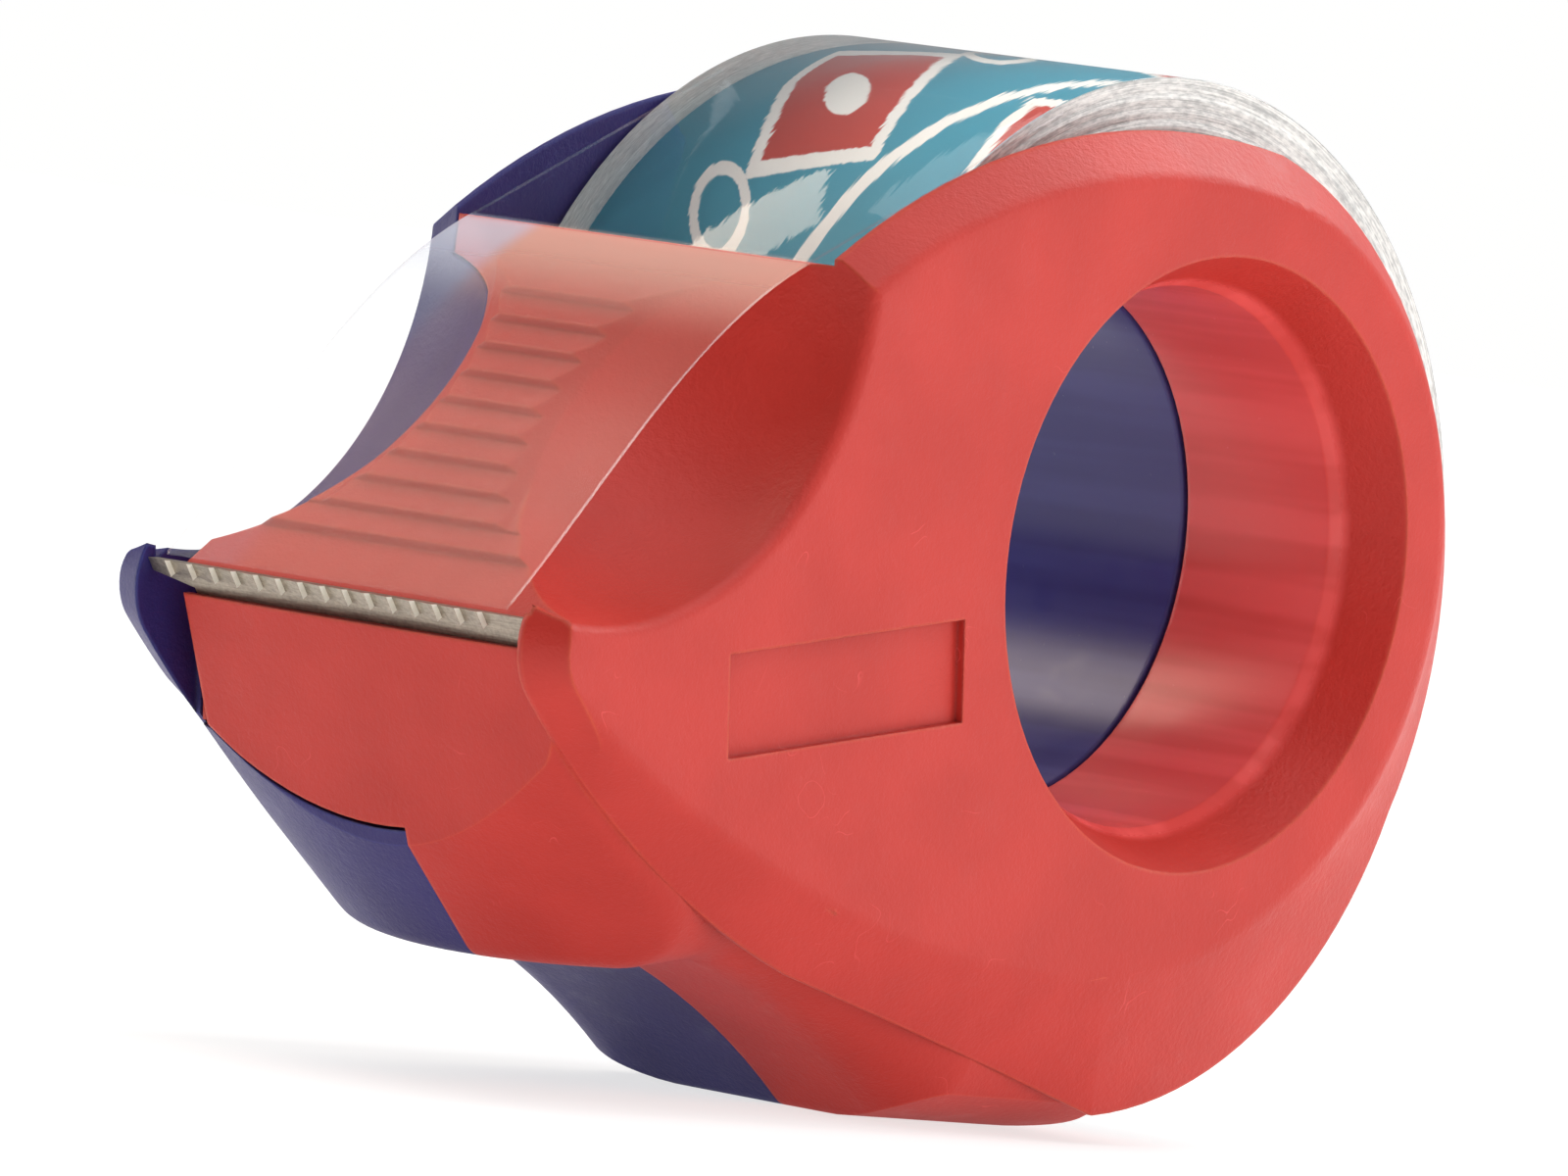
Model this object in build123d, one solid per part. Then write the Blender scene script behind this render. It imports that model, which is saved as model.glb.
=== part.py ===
"""Hand-held tape dispenser: two clip-together shells round a hub, a steel cutter and a roll of clear tape.

Drawn in the body's own axes: X from nose to tail, Y along the hub, Z up, origin on the hub axis at
mid-width.  Every finished piece is then tipped about Y onto the flat foot of the shells.  Millimetres.
"""
from build123d import *
from math import acos, asin, atan2, cos, hypot, radians, sin, sqrt, tan
import os

# ---- overall body -------------------------------------------------------------------------------
TAPE_WIDTH = 19.0          # the whole body is laid out round this width of tape
SIDE_PLAY = 1.05           # room beside the roll
LAND = 0.25                # flat inner edge of each sloping rim
FLANK = 1.8                # how far each flat side stands out from its rim
PARTING_Y = -1.5           # red and blue shells meet on this plane
FOOT_TILT = 9.7            # degrees between the flat foot and the drawing axes
WALL = 1.6                 # wall of the hollow nose and of the ramp
FIT = 0.15                 # play round the red bridge where it sits in the blue shell
OVERCUT = 5.0              # how far cutting shapes run past the body
REACH = 90.0               # cutting blocks are this large, well past the body

ROLL_SPACE_HALF = TAPE_WIDTH / 2 + SIDE_PLAY   # half-width of the space the roll turns in
RIM_HALF = ROLL_SPACE_HALF + LAND              # half-width of the body proper
HALF_WIDTH = RIM_HALF + FLANK                  # mid-width to each flat side
NOSE_SPACE_HALF = RIM_HALF - WALL              # half-width of the hollow inside the nose

# ---- hub ----------------------------------------------------------------------------------------
HUB_BORE_R = 11.5
HUB_WALL = 0.9
FUNNEL_FLARE = 1.55        # how much wider than the bore the hub's mouth is on each flat side
FUNNEL_WALL = 0.38         # wall left between funnel and roll space where the hub meets the flat side
LAP_LENGTH = 1.6           # the red hub tube grips the blue one over this length
LAP_PLAY = 0.05
HUB_SEAM = 0.3             # open joint line inside the hub

HUB_R = HUB_BORE_R + HUB_WALL
FUNNEL_R = HUB_BORE_R + FUNNEL_FLARE
SIDE_WALL = HALF_WIDTH - ROLL_SPACE_HALF
FUNNEL_DEPTH = FUNNEL_FLARE * SIDE_WALL / (FUNNEL_FLARE - HUB_WALL + FUNNEL_WALL)

# ---- roll of tape -------------------------------------------------------------------------------
CORE_PLAY = 0.8            # the core hangs loosely on the hub
CORE_WALL = 1.2
LABEL_THICKNESS = 0.12
LAYER_PLAY = 0.02
ROLL_R = 20.85
ROLL_SLACK = 0.6           # running space round the roll
ROLL_X, ROLL_Y, ROLL_Z = -0.43, 0.8, -0.61     # the roll hangs forward and down on the hub
FILM = 0.12                # thickness of the free end of the tape
TAIL_Y = -0.1              # the free end has wandered a little towards the red side

CORE_BORE_R = HUB_R + CORE_PLAY

# ---- side view ----------------------------------------------------------------------------------
# Each outline runs from the front of the top over the tail and under the jaw to the nose: an arc's end
# and a point half-way along it, in turn.
FACE_OUTLINE = [(-24.0, 12.0), (-6.0, 16.75), (5.5, 14.65), (15.55, 0), (9.4, -12.4), (1.8, -16.2),
                (-6.0, -17.0), (-14.6, -15.2), (-22.8, -12.1), (-30.2, -8.2), (-36.9, -4.0),
                (-38.05, -2.65), (-39.1, -1.35), (-39.62, 0.1), (-39.0, 1.7)]
RIM_OUTLINE = [(-24.0, 13.35), (-6.0, 18.5), (6.2, 16.7), (17.8, 0), (14.6, -12.3), (8.4, -19.45),
               (-4.5, -23.2), (-14.2, -19.0), (-24.0, -14.9), (-31.1, -10.5), (-37.7, -4.4),
               (-38.85, -3.05), (-39.9, -1.7), (-40.5, 0.1), (-39.8, 2.1)]
CREASE_ROUND = 1.0         # rounding between flat side and sloping rim

# ---- saddle between the two finger scoops -------------------------------------------------------
SCOOP_X, SCOOP_Z = -35.8, 15.4
SCOOP_OUT = 2.3            # centre of the scoop's ball outside the flat side
SCOOP_APART = 0.3          # the two balls stay this far from mid-width
SCOOP_ROUND = 0.7          # rounding where the scoop runs out on the flat side
SILL_REAR = (-20.7, 13.7)
SILL_TOP = (-22.0, 14.35)
SILL_ROUND = 0.8
RIB_COUNT = 10
RIB_FIRST = (-26.5, 12.4)
RIB_LAST = (-36.6, 3.2)
RIB_DEPTH = 0.27           # each rib drops steeply towards the nose and rises gently again
RIB_CREST = 0.05           # share of the pitch that stays flat at each side of a crest
RIB_FOOT = 0.15            # share of the pitch at which the steep side ends
RIB_HOLLOW = 0.04
PAD_CHAMFER = 0.7
NOSE_EDGE = (-39.35, 1.3)

SCOOP_R = HALF_WIDTH + SCOOP_OUT - SCOOP_APART

# ---- nose ---------------------------------------------------------------------------------------
PANEL_TOP = (-39.6, 0.1)
PANEL_LEAN = 15.6          # degrees back from upright
PANEL_BOW_R = 250.0        # the panel bulges gently across its width
SLOT_WIDTH = 1.7           # slot between the red panel and the blue cheek
PANEL_LOW_MID_Z = -8.6
PANEL_LOW_SIDE_Z = -5.6
SLOT_REAR_X = -36.8
CHIN_AXIS_X = -20.0        # the chin is a cone about this upright line
CHIN_LOW_R = 13.0
CHIN_LOW_Z = -14.4
CHIN_FLARE = 0.79          # radius gained per millimetre of height
CHIN_TOP_Z = 20.0          # the cone runs on well above the saddle
CHIN_REAR = (-26.0, CHIN_LOW_Z)
NOTCH_MID = (-19.8, -17.8)
FOOT_FRONT = (-13.8, -22.9)
FOOT_LENGTH = 9.6
FOOT_ROUND = 4.0
FOOT_FLAT = 7.6            # the foot is flat over this width and crowned on both sides of it
FOOT_CROWN_R = 12.5
CHIN_ROUND = 1.5
NOTCH_ROUND = 3.0
TOE_ROUND = 1.2
HEEL_ROUND = 6.0
TAIL_LOW = (3.2, -22.2)

PANEL_FAR_Y = RIM_HALF - SLOT_WIDTH

# ---- inside of the nose -------------------------------------------------------------------------
BRIDGE_REAR = (-14.0, 8.0)
RAMP_REAR = (-21.4, 12.9)
RAMP_TOP = (-24.9, 11.7)
RAMP_FOOT = (-33.5, 3.9)
PANEL_BACK = (-36.2, -2.6)
CHIN_INSIDE = [(-35.9, -8.0), (-32.5, -12.9), (-25.5, -13.2), (-20.0, -16.2), (-16.4, -19.0)]
CHIN_WALL = 2.0

# ---- cutter -------------------------------------------------------------------------------------
BLADE_INSET = 0.1          # the blade stops this far inside each side
BLADE_HEIGHT = 4.2
BLADE_THICKNESS = 0.5
BLADE_LEAN = 30.0          # degrees back from upright
BLADE_TIP = (-40.0, 1.6)
BLADE_CORNER = (0.7, 0.5)  # cut off the corner at the red end
BLADE_GRIND = 36.0         # degrees that the ground top falls away behind the teeth
BLADE_STEM = (2.1, 1.45)   # the blade hangs free this far at the blue end, down to this depth
TOOTH_PITCH = 1.25
TOOTH_COUNT = 15
TOOTH_HEIGHT = 0.85
TOOTH_DEPTH = 0.27         # each tooth is pressed out and slants forward to the red side

# ---- recess on the red side ---------------------------------------------------------------------
RECESS_LENGTH, RECESS_HEIGHT, RECESS_DEPTH = 14.4, 4.3, 0.4
RECESS_X, RECESS_Z = -22.75, -2.9


def slab(outline, y_low, y_high):
    """Side-view outline given thickness between two distances along the hub."""
    face = make_face(outline)
    return extrude(Plane.XZ.offset(-y_low) * face, amount=y_high - y_low, dir=(0, 1, 0))


def disc(radius, y_low, y_high, x=0.0, z=0.0):
    """Round bar along the hub direction."""
    bar = Cylinder(radius, y_high - y_low)
    return Pos(x, (y_low + y_high) / 2, z) * Rot(90, 0, 0) * bar


def block(x_low, x_high, y_low, y_high, z_low, z_high):
    """Plain box between limits."""
    box = Box(x_high - x_low, y_high - y_low, z_high - z_low)
    return Pos((x_low + x_high) / 2, (y_low + y_high) / 2, (z_low + z_high) / 2) * box


def side_outline(points):
    """Teardrop round the hub that runs out to the nose, closed by a line along the saddle."""
    arcs = [ThreePointArc(*points[i:i + 3]) for i in range(0, len(points) - 2, 2)]
    return Curve() + arcs + [Line(points[-1], points[0])]


def side_plate(side):
    """One side of the body: flat face with its sloping rim, and the rim's inner edge."""
    outer = Plane.XZ.offset(-side * HALF_WIDTH) * make_face(side_outline(FACE_OUTLINE))
    inner = Plane.XZ.offset(-side * RIM_HALF) * make_face(side_outline(RIM_OUTLINE))
    flank = loft([outer, inner], ruled=True)
    y_low, y_high = sorted((side * ROLL_SPACE_HALF, side * RIM_HALF))
    return flank + slab(side_outline(RIM_OUTLINE), y_low, y_high)


def foot_rear():
    """Rear end of the flat foot."""
    tilt = radians(FOOT_TILT)
    return (FOOT_FRONT[0] + FOOT_LENGTH * cos(tilt), FOOT_FRONT[1] - FOOT_LENGTH * sin(tilt))


def rib_point(count, depth):
    """Place on the ramp, counted in ribs down from the first, and this deep below the crests."""
    step_x = (RIB_LAST[0] - RIB_FIRST[0]) / (RIB_COUNT - 1)
    step_z = (RIB_LAST[1] - RIB_FIRST[1]) / (RIB_COUNT - 1)
    share = depth / hypot(step_x, step_z)
    return (RIB_FIRST[0] + count * step_x - share * step_z, RIB_FIRST[1] + count * step_z + share * step_x)


def spine_face():
    """Side view of the middle of the body: saddle, nose, chin, notch, foot and floor."""
    ahead = -HALF_WIDTH + PANEL_TOP[0]
    ledge = (BLADE_TIP[0] + (BLADE_TIP[1] - PANEL_TOP[1]) * tan(radians(BLADE_LEAN)) + BLADE_THICKNESS / 2,
             PANEL_TOP[1])
    belly = ((foot_rear()[0] + TAIL_LOW[0]) / 2 + 0.2, (foot_rear()[1] + TAIL_LOW[1]) / 2 - 0.35)
    outline = Curve() + [
        Polyline((0, 0), SILL_REAR, SILL_TOP, RIB_FIRST, RIB_LAST, NOSE_EDGE, ledge,
                 (ahead, PANEL_TOP[1]), (ahead, CHIN_LOW_Z), CHIN_REAR),
        ThreePointArc(CHIN_REAR, NOTCH_MID, FOOT_FRONT),
        Line(FOOT_FRONT, foot_rear()),
        ThreePointArc(foot_rear(), belly, TAIL_LOW),
        Line(TAIL_LOW, (0, 0)),
    ]
    face = make_face(outline)
    for corner, radius in ((CHIN_REAR, NOTCH_ROUND), (FOOT_FRONT, TOE_ROUND), (foot_rear(), HEEL_ROUND),
                           (SILL_TOP, SILL_ROUND)):
        face = fillet(face.vertices().sort_by_distance((*corner, 0))[0], radius)
    return face


def chin_cone(shrink=0.0):
    """Upright cone that rounds the chin, drawn in by the given wall."""
    low, high = CHIN_LOW_R - shrink, CHIN_LOW_R + CHIN_FLARE * (CHIN_TOP_Z - CHIN_LOW_Z) - shrink
    profile = Polyline((0, CHIN_LOW_Z), (low, CHIN_LOW_Z), (high, CHIN_TOP_Z), (0, CHIN_TOP_Z), close=True)
    return Pos(CHIN_AXIS_X, 0, 0) * revolve(Plane.XZ * make_face(profile), Axis.Z)


def panel_bow():
    """Huge cylinder whose surface is the front panel."""
    rod = Pos(PANEL_BOW_R, 0, 0) * Cylinder(PANEL_BOW_R, REACH)
    return Pos(PANEL_TOP[0], 0, PANEL_TOP[1]) * Rot(0, -PANEL_LEAN, 0) * rod


def nose_cutter():
    """Everything in front of the chin cone and of the panel."""
    front = block(-REACH, CHIN_AXIS_X, -RIM_HALF, RIM_HALF, CHIN_LOW_Z, CHIN_TOP_Z)
    above = block(-REACH, CHIN_AXIS_X, -RIM_HALF, RIM_HALF, PANEL_TOP[1], CHIN_TOP_Z)
    return (front - chin_cone()) + (front - panel_bow() - above)


def foot_crown():
    """Room under the crowned sides of the foot."""
    edge, half = FOOT_FLAT / 2, (RIM_HALF - FOOT_FLAT / 2) / FOOT_CROWN_R
    turn = asin(half)
    mid = (edge + FOOT_CROWN_R * sin(turn / 2), FOOT_CROWN_R * (1 - cos(turn / 2)))
    top = (RIM_HALF, FOOT_CROWN_R * (1 - cos(turn)))
    below = -OVERCUT
    rooms = []
    for side in (-1, 1):
        outline = Curve() + [
            ThreePointArc((side * edge, 0), (side * mid[0], mid[1]), (side * top[0], top[1])),
            Polyline((side * top[0], top[1]), (side * REACH, top[1]), (side * REACH, below), (side * edge, below),
                     (side * edge, 0)),
        ]
        room = extrude(Plane.YZ.offset(-OVERCUT) * make_face(outline), amount=3 * FOOT_LENGTH)
        rooms.append(Pos(FOOT_FRONT[0], 0, FOOT_FRONT[1]) * Rot(0, FOOT_TILT, 0) * room)
    return rooms


def spine():
    """Middle of the body with its rounded foot, chin and belly."""
    y_far = RIM_HALF
    solid = extrude(Plane.XZ.offset(y_far) * spine_face(), amount=2 * y_far, dir=(0, 1, 0))
    low = [e for e in solid.edges() if (e @ 0).Y * (e @ 1).Y > 0 and (e @ 0.5).Z < CHIN_LOW_Z + 0.1]
    solid = fillet(low, FOOT_ROUND) - nose_cutter() - foot_crown()
    chin = [e for e in solid.edges() if e.geom_type == GeomType.CIRCLE and (e @ 0).Y * (e @ 1).Y < 0
            and (e @ 0.5).X < CHIN_REAR[0]]
    return fillet(chin, CHIN_ROUND)


def scoop(side, grow=0.0):
    """Ball that hollows one side for the thumb or finger."""
    return Pos(SCOOP_X, side * (HALF_WIDTH + SCOOP_OUT), SCOOP_Z) * Sphere(SCOOP_R + grow)


def scoop_mouth(side):
    """Rounding between the scoop's ball and the flat side, as a ring to cut away."""
    ring_r = sqrt((SCOOP_R + SCOOP_ROUND) ** 2 - (SCOOP_OUT + SCOOP_ROUND) ** 2)
    share = SCOOP_R / (SCOOP_R + SCOOP_ROUND)
    on_ball = (ring_r * share, SCOOP_OUT - (SCOOP_OUT + SCOOP_ROUND) * share)
    bearing = (radians(90) + atan2(on_ball[1] + SCOOP_ROUND, on_ball[0] - ring_r)) / 2
    mid = (ring_r + SCOOP_ROUND * cos(bearing), SCOOP_ROUND * (sin(bearing) - 1))
    profile = Curve() + [
        ThreePointArc(on_ball, mid, (ring_r, 0)),
        Polyline((ring_r, 0), (ring_r, 1), (on_ball[0] - 1, 1), (on_ball[0] - 1, on_ball[1]), on_ball),
    ]
    turn = revolve(make_face(profile), Axis.Y)
    return Pos(SCOOP_X, side * HALF_WIDTH, SCOOP_Z) * Rot(90 - 90 * side, 0, 0) * turn


def rib_grooves():
    """Cuts that leave the row of anti-stick ribs on the ramp."""
    cuts = []
    for i in range(RIB_COUNT - 1):
        start, foot = rib_point(i + RIB_CREST, 0), rib_point(i + RIB_FOOT, RIB_DEPTH)
        end = rib_point(i + 1 - RIB_CREST, 0)
        mid = rib_point(i + (RIB_FOOT + 1 - RIB_CREST) / 2, RIB_DEPTH / 2 + RIB_HOLLOW)
        outline = Curve() + [
            Line(start, foot),
            ThreePointArc(foot, mid, end),
            Polyline(end, rib_point(i + 1 - RIB_CREST, -1), rib_point(i + RIB_CREST, -1), start),
        ]
        cuts.append(slab(outline, -HALF_WIDTH, HALF_WIDTH))
    foot = rib_point(RIB_COUNT - 1 + RIB_FOOT, RIB_DEPTH)
    last = Polyline(RIB_LAST, foot, NOSE_EDGE, (NOSE_EDGE[0], RIB_LAST[1]), close=True)
    return cuts + [slab(last, -HALF_WIDTH, HALF_WIDTH)]


def roll_space(grow=0.0):
    """Room the roll turns in."""
    reach = ROLL_SPACE_HALF + grow
    return disc(ROLL_R + ROLL_SLACK + grow, -reach, reach, ROLL_X, ROLL_Z)


def bridge_outline():
    """Side view of the skin that the red shell carries across to the blue side."""
    low = CHIN_LOW_Z + 0.4
    return Polyline(BRIDGE_REAR, RAMP_REAR, RAMP_TOP, RAMP_FOOT, PANEL_BACK, (PANEL_BACK[0] + 0.6, low),
                    (-REACH, low), (-REACH, REACH), (BRIDGE_REAR[0], REACH), close=True)


def bridge_space(grow=0.0):
    """Space the red bridge takes past the parting plane."""
    outline = make_face(bridge_outline())
    if grow:
        outline = offset(outline, grow, kind=Kind.INTERSECTION)
    start = PARTING_Y - (OVERCUT if grow else 0)
    y_far = ROLL_SPACE_HALF - FIT + grow
    space = extrude(Plane.XZ.offset(-start) * outline, amount=y_far - start, dir=(0, 1, 0))
    side_y, side_z, mid_z = PANEL_FAR_Y, PANEL_LOW_SIDE_Z - grow, PANEL_LOW_MID_Z - grow
    arch = Curve() + [
        ThreePointArc((-side_y, side_z), (0, mid_z), (side_y, side_z)),
        Polyline((side_y, side_z), (REACH, side_z), (REACH, -REACH), (-REACH, -REACH), (-REACH, side_z),
                 (-side_y, side_z)),
    ]
    below = extrude(Plane.YZ.offset(-REACH) * make_face(arch), amount=REACH + BRIDGE_REAR[0])
    return space - below


def nose_space():
    """Hollow inside nose and chin."""
    outline = Polyline((0, 0), RAMP_REAR, RAMP_TOP, RAMP_FOOT, PANEL_BACK, *CHIN_INSIDE, close=True)
    space = slab(outline, -NOSE_SPACE_HALF, NOSE_SPACE_HALF) & chin_cone(CHIN_WALL)
    for side in (-1, 1):
        space -= scoop(side, WALL)
    return space - disc(ROLL_R + ROLL_SLACK + WALL, -HALF_WIDTH, HALF_WIDTH, ROLL_X, ROLL_Z)


def funnel(side):
    """Flared mouth of the hub on one side."""
    cone = Cone(FUNNEL_R, HUB_BORE_R, FUNNEL_DEPTH, align=(Align.CENTER, Align.CENTER, Align.MIN))
    return Pos(0, side * HALF_WIDTH, 0) * Rot(90 * side, 0, 0) * cone


def blade_frame():
    """Cutter's own place: origin at the tips, X through its thickness, Z up its height."""
    return Pos(BLADE_TIP[0], 0, BLADE_TIP[1]) * Rot(0, -BLADE_LEAN, 0)


def blade_plate(y_low, y_high, up=0.0):
    """Bare strip of the cutter, or of the slot it stands in."""
    return blade_frame() * block(0, BLADE_THICKNESS, y_low, y_high, -BLADE_HEIGHT, up)


def outer_body():
    """Both shells as one solid lump, before it is hollowed and parted."""
    body = spine() + [side_plate(-1), side_plate(1)]
    crease = [e for e in body.edges() if abs(abs((e @ 0.5).Y) - HALF_WIDTH) < 0.01
              and (e @ 0.5).X > FACE_OUTLINE[-5][0]]
    body = fillet(crease, CREASE_ROUND)
    for side in (-1, 1):
        body -= scoop(side)
        body -= scoop_mouth(side)
    pad = [e for e in body.edges() if e.geom_type == GeomType.CIRCLE and abs(e.radius - SCOOP_R) > 0.01
           and RIB_LAST[0] - 0.1 < (e @ 0.5).X < RIB_FIRST[0] + 0.1 and (e @ 0).Y * (e @ 1).Y > 0
           and abs((e @ 0.5).Y) < ROLL_SPACE_HALF / 2]
    return chamfer(pad, PAD_CHAMFER)


def hollow_body():
    """Both shells still in one piece, with their spaces, hub bore and ribs."""
    body = outer_body()
    body -= rib_grooves()
    body -= roll_space()
    body -= nose_space()
    body += disc(FUNNEL_R + WALL, -HALF_WIDTH, -ROLL_SPACE_HALF)
    body += disc(FUNNEL_R + WALL, ROLL_SPACE_HALF, HALF_WIDTH)
    body -= disc(HUB_BORE_R, -HALF_WIDTH, HALF_WIDTH)
    body -= block(-REACH, SLOT_REAR_X, PANEL_FAR_Y, RIM_HALF, PANEL_LOW_SIDE_Z, REACH)
    body -= blade_plate(-RIM_HALF, RIM_HALF, OVERCUT)
    return body


def hub_sleeve(side):
    """One shell's half of the hub, with its share of the lap joint."""
    seam = PARTING_Y + side * HUB_SEAM / 2
    lap_r = (HUB_BORE_R + HUB_R) / 2
    low, high = sorted((seam, side * HALF_WIDTH))
    sleeve = disc(HUB_R, low, high)
    if side < 0:
        sleeve += disc(HUB_R, seam, seam + LAP_LENGTH)
        sleeve -= disc(lap_r + LAP_PLAY / 2, seam, seam + LAP_LENGTH)
    else:
        rebate = disc(HUB_R + 1, seam, seam + LAP_LENGTH) - disc(lap_r - LAP_PLAY / 2, seam, seam + LAP_LENGTH)
        sleeve -= rebate
    return sleeve - disc(HUB_BORE_R, -HALF_WIDTH, HALF_WIDTH)


def red_shell(body):
    """Near shell, with the bridge that carries saddle, cutter and front panel across."""
    half = body & block(-REACH, REACH, -HALF_WIDTH, PARTING_Y, -REACH, REACH)
    shell = half + (body & bridge_space()) + hub_sleeve(-1) - funnel(-1)
    return shell - block(RECESS_X - RECESS_LENGTH / 2, RECESS_X + RECESS_LENGTH / 2, -HALF_WIDTH,
                         -HALF_WIDTH + RECESS_DEPTH, RECESS_Z - RECESS_HEIGHT / 2, RECESS_Z + RECESS_HEIGHT / 2)


def blue_shell(body):
    """Far shell, cut away where the red bridge sits."""
    half = body & block(-REACH, REACH, PARTING_Y, HALF_WIDTH, -REACH, REACH)
    return half - bridge_space(FIT) + hub_sleeve(1) - funnel(1)


def cutter_blade():
    """Steel strip with a row of teeth pressed out of its front."""
    y_end = RIM_HALF - BLADE_INSET
    sheet = Polyline((-y_end, -BLADE_CORNER[1]), (BLADE_CORNER[0] - y_end, 0), (y_end, 0), (y_end, -TOOTH_HEIGHT),
                     (y_end - BLADE_STEM[0], -BLADE_STEM[1]), (y_end - BLADE_STEM[0], -BLADE_HEIGHT),
                     (-y_end, -BLADE_HEIGHT), close=True)
    blade = extrude(Plane.YZ * make_face(sheet), amount=BLADE_THICKNESS)
    root = BLADE_THICKNESS / 2
    facet = Polyline((root, 0), (0, 0), (-TOOTH_DEPTH, -TOOTH_PITCH), (root, -TOOTH_PITCH), close=True)
    tooth = Pos(0, y_end, -TOOTH_HEIGHT) * extrude(make_face(facet), amount=TOOTH_HEIGHT)
    blade += [Pos(0, -i * TOOTH_PITCH, 0) * tooth for i in range(TOOTH_COUNT)]
    above = block(-OVERCUT, OVERCUT, -REACH, REACH, 0, OVERCUT)
    blade -= Pos(-TOOTH_DEPTH, 0, 0) * Rot(0, BLADE_GRIND, 0) * above
    return blade_frame() * blade


def ring(outer, inner, width):
    """Plain tube along the hub, on the roll's own axis."""
    low, high = ROLL_Y - width / 2, ROLL_Y + width / 2
    return disc(outer, low, high, ROLL_X, ROLL_Z) - disc(inner, low, high, ROLL_X, ROLL_Z)


def tape_tail():
    """Free end of the tape, from the roll over the sill to the cutter."""
    reach = hypot(SILL_TOP[0] - ROLL_X, SILL_TOP[1] + FILM - ROLL_Z)
    r = ROLL_R + LAYER_PLAY
    bearing = atan2(SILL_TOP[1] + FILM - ROLL_Z, SILL_TOP[0] - ROLL_X) - acos(r / reach)
    leave = (ROLL_X + r * cos(bearing), ROLL_Z + r * sin(bearing))
    over = (ROLL_X + (r + FILM) * cos(bearing), ROLL_Z + (r + FILM) * sin(bearing))
    tip = (BLADE_TIP[0] - 0.1, BLADE_TIP[1] + 0.12)
    mid = ((RIB_FIRST[0] + tip[0]) / 2 - 0.2, (RIB_FIRST[1] + tip[1]) / 2 + 0.25)
    under = [(SILL_TOP[0], SILL_TOP[1] + LAYER_PLAY), (RIB_FIRST[0], RIB_FIRST[1] + 3 * LAYER_PLAY), mid, tip]
    upper = [(x, z + FILM) for x, z in under[::-1]]
    outline = Curve() + [
        Line(leave, under[0]),
        Spline(*under),
        Line(tip, upper[0]),
        Spline(*upper),
        Polyline(upper[-1], over, leave),
    ]
    return slab(outline, TAIL_Y - TAPE_WIDTH / 2, TAIL_Y + TAPE_WIDTH / 2)


def main():
    """Build every piece, tip it onto its foot and write it."""
    body = hollow_body()
    label_r = CORE_BORE_R + CORE_WALL
    wound_r = label_r + LABEL_THICKNESS
    pieces = {
        "red_shell": red_shell(body),
        "blue_shell": blue_shell(body),
        "cutter_blade": cutter_blade(),
        "roll_core": ring(label_r, CORE_BORE_R, TAPE_WIDTH),
        "core_label": ring(wound_r, label_r + LAYER_PLAY, TAPE_WIDTH),
        "tape_winding": ring(ROLL_R, wound_r + LAYER_PLAY, TAPE_WIDTH),
        "tape_tail": tape_tail(),
    }
    os.makedirs("parts", exist_ok=True)
    for name, piece in pieces.items():
        solids = piece.solids()
        print(name, len(solids), round(piece.volume, 1), piece.is_valid, [round(v.volume, 2) for v in solids])
        export_step(Rot(0, -FOOT_TILT, 0) * piece, f"parts/{name}.step")


if __name__ == "__main__":
    main()
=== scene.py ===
"""Looks of the hand-held tape dispenser.

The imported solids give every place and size.  This script gives them their finishes, winds the clear roll
with its printed band inside, and sets up a pale floor, soft studio light and the camera.  Metres.
"""
import logging
import math
from dataclasses import dataclass
from enum import Enum
from typing import Any

import bmesh
import bpy
from mathutils import Euler, Matrix, Vector


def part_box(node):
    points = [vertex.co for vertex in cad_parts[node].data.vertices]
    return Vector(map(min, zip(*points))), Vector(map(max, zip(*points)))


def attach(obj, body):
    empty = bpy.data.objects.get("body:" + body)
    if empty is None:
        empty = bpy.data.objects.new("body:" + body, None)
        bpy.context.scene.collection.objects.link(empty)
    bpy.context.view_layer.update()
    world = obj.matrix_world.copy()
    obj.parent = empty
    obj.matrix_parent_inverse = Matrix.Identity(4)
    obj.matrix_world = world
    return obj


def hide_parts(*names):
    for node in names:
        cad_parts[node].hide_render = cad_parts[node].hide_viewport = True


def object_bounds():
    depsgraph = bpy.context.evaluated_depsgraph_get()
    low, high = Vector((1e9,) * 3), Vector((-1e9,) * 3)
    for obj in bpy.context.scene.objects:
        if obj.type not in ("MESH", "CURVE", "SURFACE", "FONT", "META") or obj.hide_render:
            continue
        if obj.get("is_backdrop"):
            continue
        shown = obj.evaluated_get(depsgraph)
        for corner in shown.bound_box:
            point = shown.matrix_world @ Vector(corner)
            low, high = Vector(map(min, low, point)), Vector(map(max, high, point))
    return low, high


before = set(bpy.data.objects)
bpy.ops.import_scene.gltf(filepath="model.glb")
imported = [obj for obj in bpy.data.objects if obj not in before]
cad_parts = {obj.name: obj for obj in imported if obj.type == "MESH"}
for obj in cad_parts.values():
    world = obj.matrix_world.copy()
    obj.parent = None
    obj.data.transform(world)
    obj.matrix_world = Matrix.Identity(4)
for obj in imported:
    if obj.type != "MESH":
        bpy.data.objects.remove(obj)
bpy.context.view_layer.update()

MM = 0.001
LOG = logging.getLogger("tape_dispenser")
Colour = tuple[float, float, float]
Point = tuple[float, float, float]
WHITE: Colour = (1.0, 1.0, 0.995)          # what the camera sees behind the object
FILM_IOR = 1.5
FILM_STREAK = 0.01 * MM                    # relief of the drawn lines in the tape
TAIL_WAY = (0.65, -0.74)                   # level direction in which the studio grows brighter


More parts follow.
